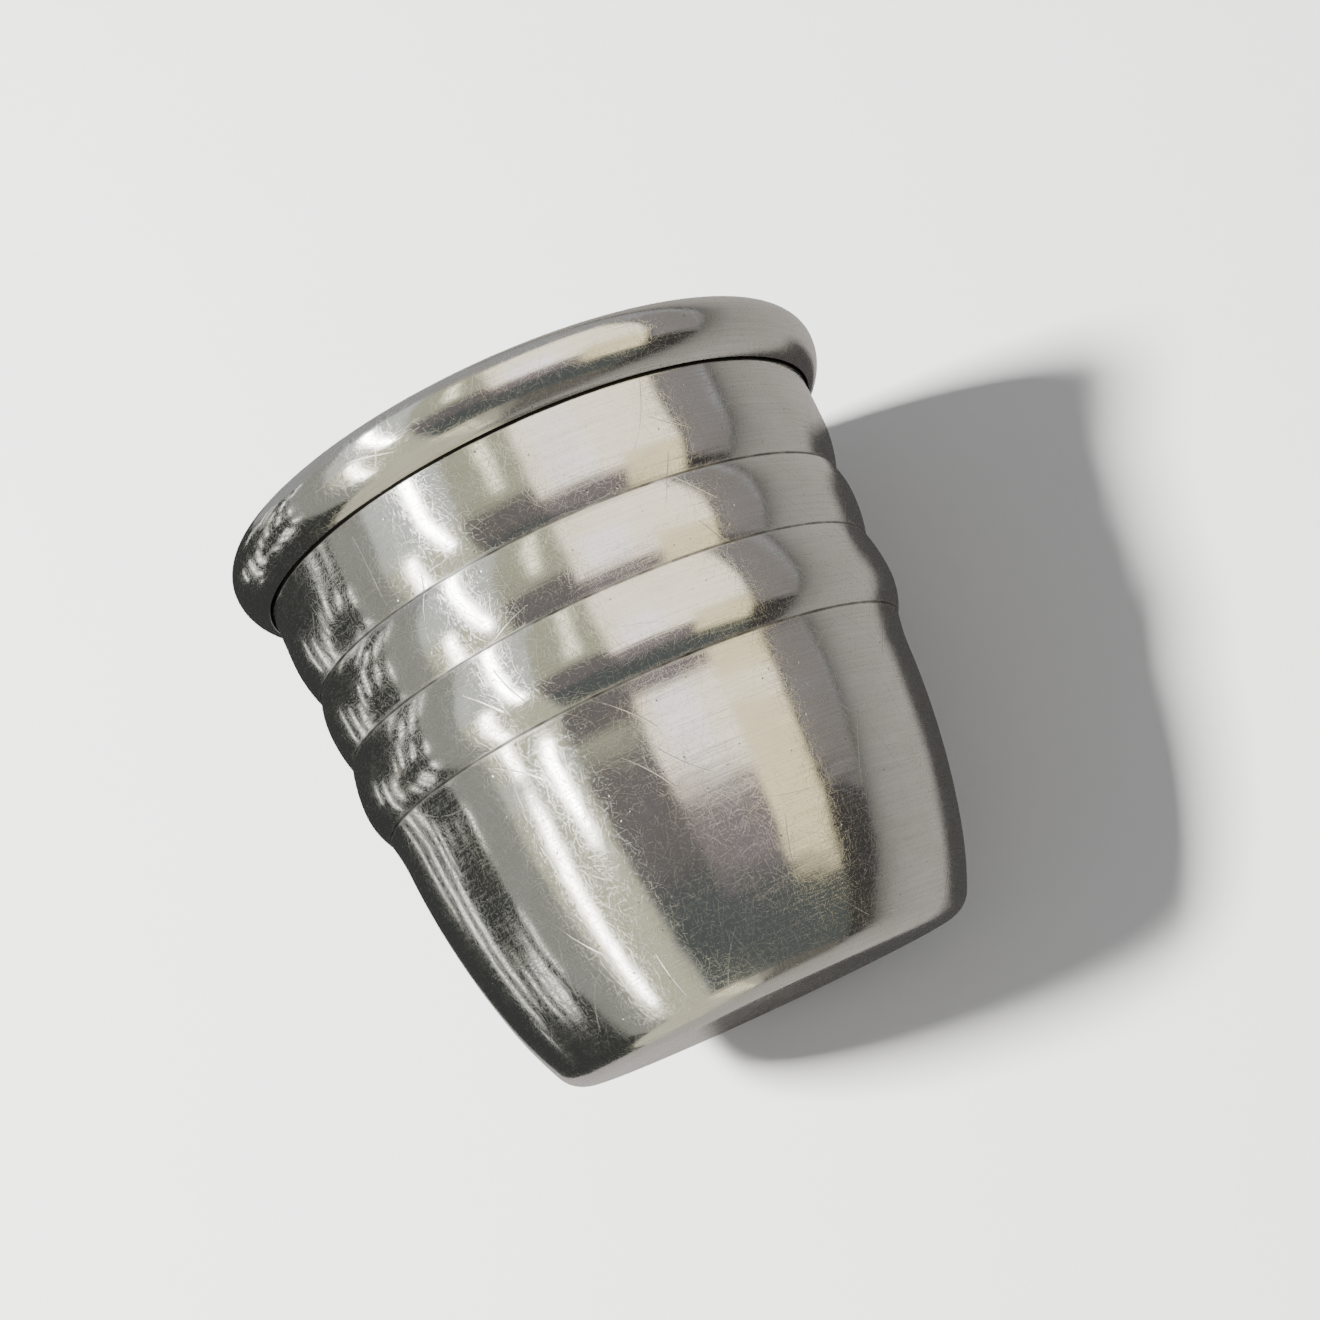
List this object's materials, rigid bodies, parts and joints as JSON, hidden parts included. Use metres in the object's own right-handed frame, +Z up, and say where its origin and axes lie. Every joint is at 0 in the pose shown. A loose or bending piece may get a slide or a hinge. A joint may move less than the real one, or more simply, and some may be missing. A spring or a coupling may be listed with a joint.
{
  "type": "tumbler cup",
  "caption": "Spun silver-plated tumbler cup with a hollow rolled rim bead, three convex bands, a groove, a barrel-shaped wall and a rounded heel.",
  "frame": {"origin": "centre of the base, on the plane of the standing ring", "axes": "+Z up along the cup's axis, towards the open mouth; the cup is round, so X and Y are free"},
  "size_m": [0.0776, 0.0776, 0.0736],
  "materials": {
    "silver_plate": "polished silver plate, worn, with fine scratches",
    "soft_solder": "dull grey solder"
  },
  "bodies": {
    "root": {"cup_body": "silver_plate", "rim_bead": "silver_plate", "rim_solder": "soft_solder"}
  },
  "joints": []
}
